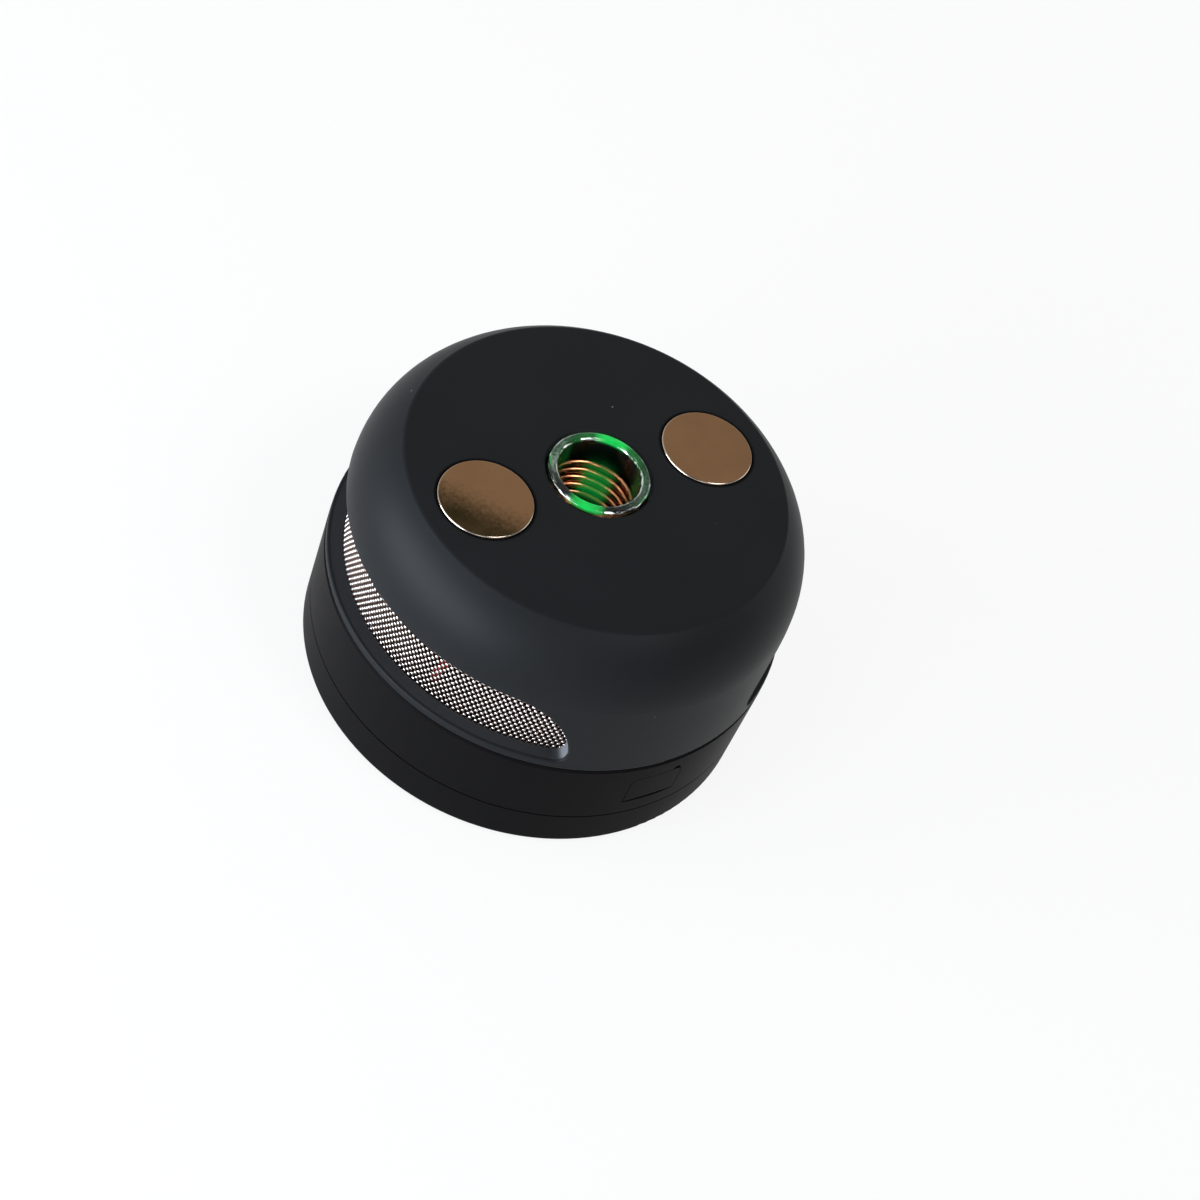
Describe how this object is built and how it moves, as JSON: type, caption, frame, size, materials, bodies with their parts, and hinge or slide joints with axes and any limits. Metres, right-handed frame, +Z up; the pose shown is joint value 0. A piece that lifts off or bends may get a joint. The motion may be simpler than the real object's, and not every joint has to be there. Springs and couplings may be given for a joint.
{
  "type": "portable induction heater",
  "caption": "Palm-size round induction heater with a glass-lined well, work coil, magnets in the top and meshed side vents.",
  "frame": {"origin": "middle of the surface it stands on", "axes": "+Z up along the well, magnets along X, charging port faces -Y"},
  "size_m": [0.091, 0.091, 0.0563],
  "materials": {
    "shell_black": "soft-touch black coating",
    "ring_black": "fine-grained black plastic",
    "rubber_black": "matte black silicone",
    "screw_steel": "zinc-plated steel",
    "mesh_steel": "bright woven steel wire",
    "magnet_plate": "polished nickel plating with a bronze tint",
    "clear_glass": "clear, fire-polished",
    "clear_silicone": "clear silicone",
    "seat_black": "black heat-proof plastic",
    "copper": "bare copper",
    "board_green": "green solder mask",
    "lamp_green": "green lamp",
    "capacitor_red": "dipped film capacitor",
    "choke_yellow": "coated core",
    "chip_black": "moulded package",
    "sink_aluminium": "extruded",
    "cell_wrap": "shrink sleeve over a steel can",
    "lead_red": "silicone-covered wire"
  },
  "bodies": {
    "housing": {"top_shell": "shell_black", "lower_ring": "ring_black", "base_cover": "ring_black", "rubber_feet": "rubber_black", "cover_screws": "screw_steel", "shell_screws": "screw_steel", "seat_screws": "screw_steel", "vent_mesh_left": "mesh_steel", "vent_mesh_right": "mesh_steel", "magnet_left": "magnet_plate", "magnet_right": "magnet_plate", "light_ring": "clear_silicone", "tube_seat": "seat_black", "led_board": "board_green", "led_chips": "lamp_green", "trigger_spring": "screw_steel", "trigger_switch": "seat_black", "induction_coil": "copper", "coil_sleeve": "seat_black", "coil_terminals": "copper", "driver_board": "board_green", "board_screws": "screw_steel", "capacitors": "capacitor_red", "chokes": "choke_yellow", "mosfets": "chip_black", "heat_sink": "sink_aluminium", "control_chip": "chip_black", "fan_housing": "seat_black", "fan_lid": "seat_black", "fan_screws": "screw_steel", "fan_shaft": "screw_steel", "battery_cells": "cell_wrap", "battery_cradle": "seat_black", "cell_links": "screw_steel", "power_leads": "lead_red", "charge_board": "board_green", "charge_screws": "screw_steel", "usb_socket": "screw_steel"},
    "glass": {"glass_tube": "clear_glass"},
    "trigger": {"trigger_plunger": "seat_black"},
    "fan": {"fan_rotor": "seat_black"},
    "flap": {"port_cover": "rubber_black"}
  },
  "joints": [
    {"name": "glass_lift", "type": "slide", "parent": "housing", "child": "glass", "axis": [0, 0, 1], "range_m": [0, 0.03]},
    {"name": "trigger_press", "type": "slide", "parent": "housing", "child": "trigger", "axis": [0, 0, -1], "range_m": [0, 0.0015], "stiffness_N_per_m": 400, "springref_m": -0.002, "deforming": ["trigger_spring"]},
    {"name": "fan_spin", "type": "hinge", "parent": "housing", "child": "fan", "pos_m": [-0.0263, 0, 0.02995], "axis": [0, 0, 1], "continuous": true},
    {"name": "flap_hinge", "type": "hinge", "parent": "housing", "child": "flap", "pos_m": [0, -0.0446, 0.01435], "axis": [1, 0, 0], "range_deg": [0, 90]}
  ]
}
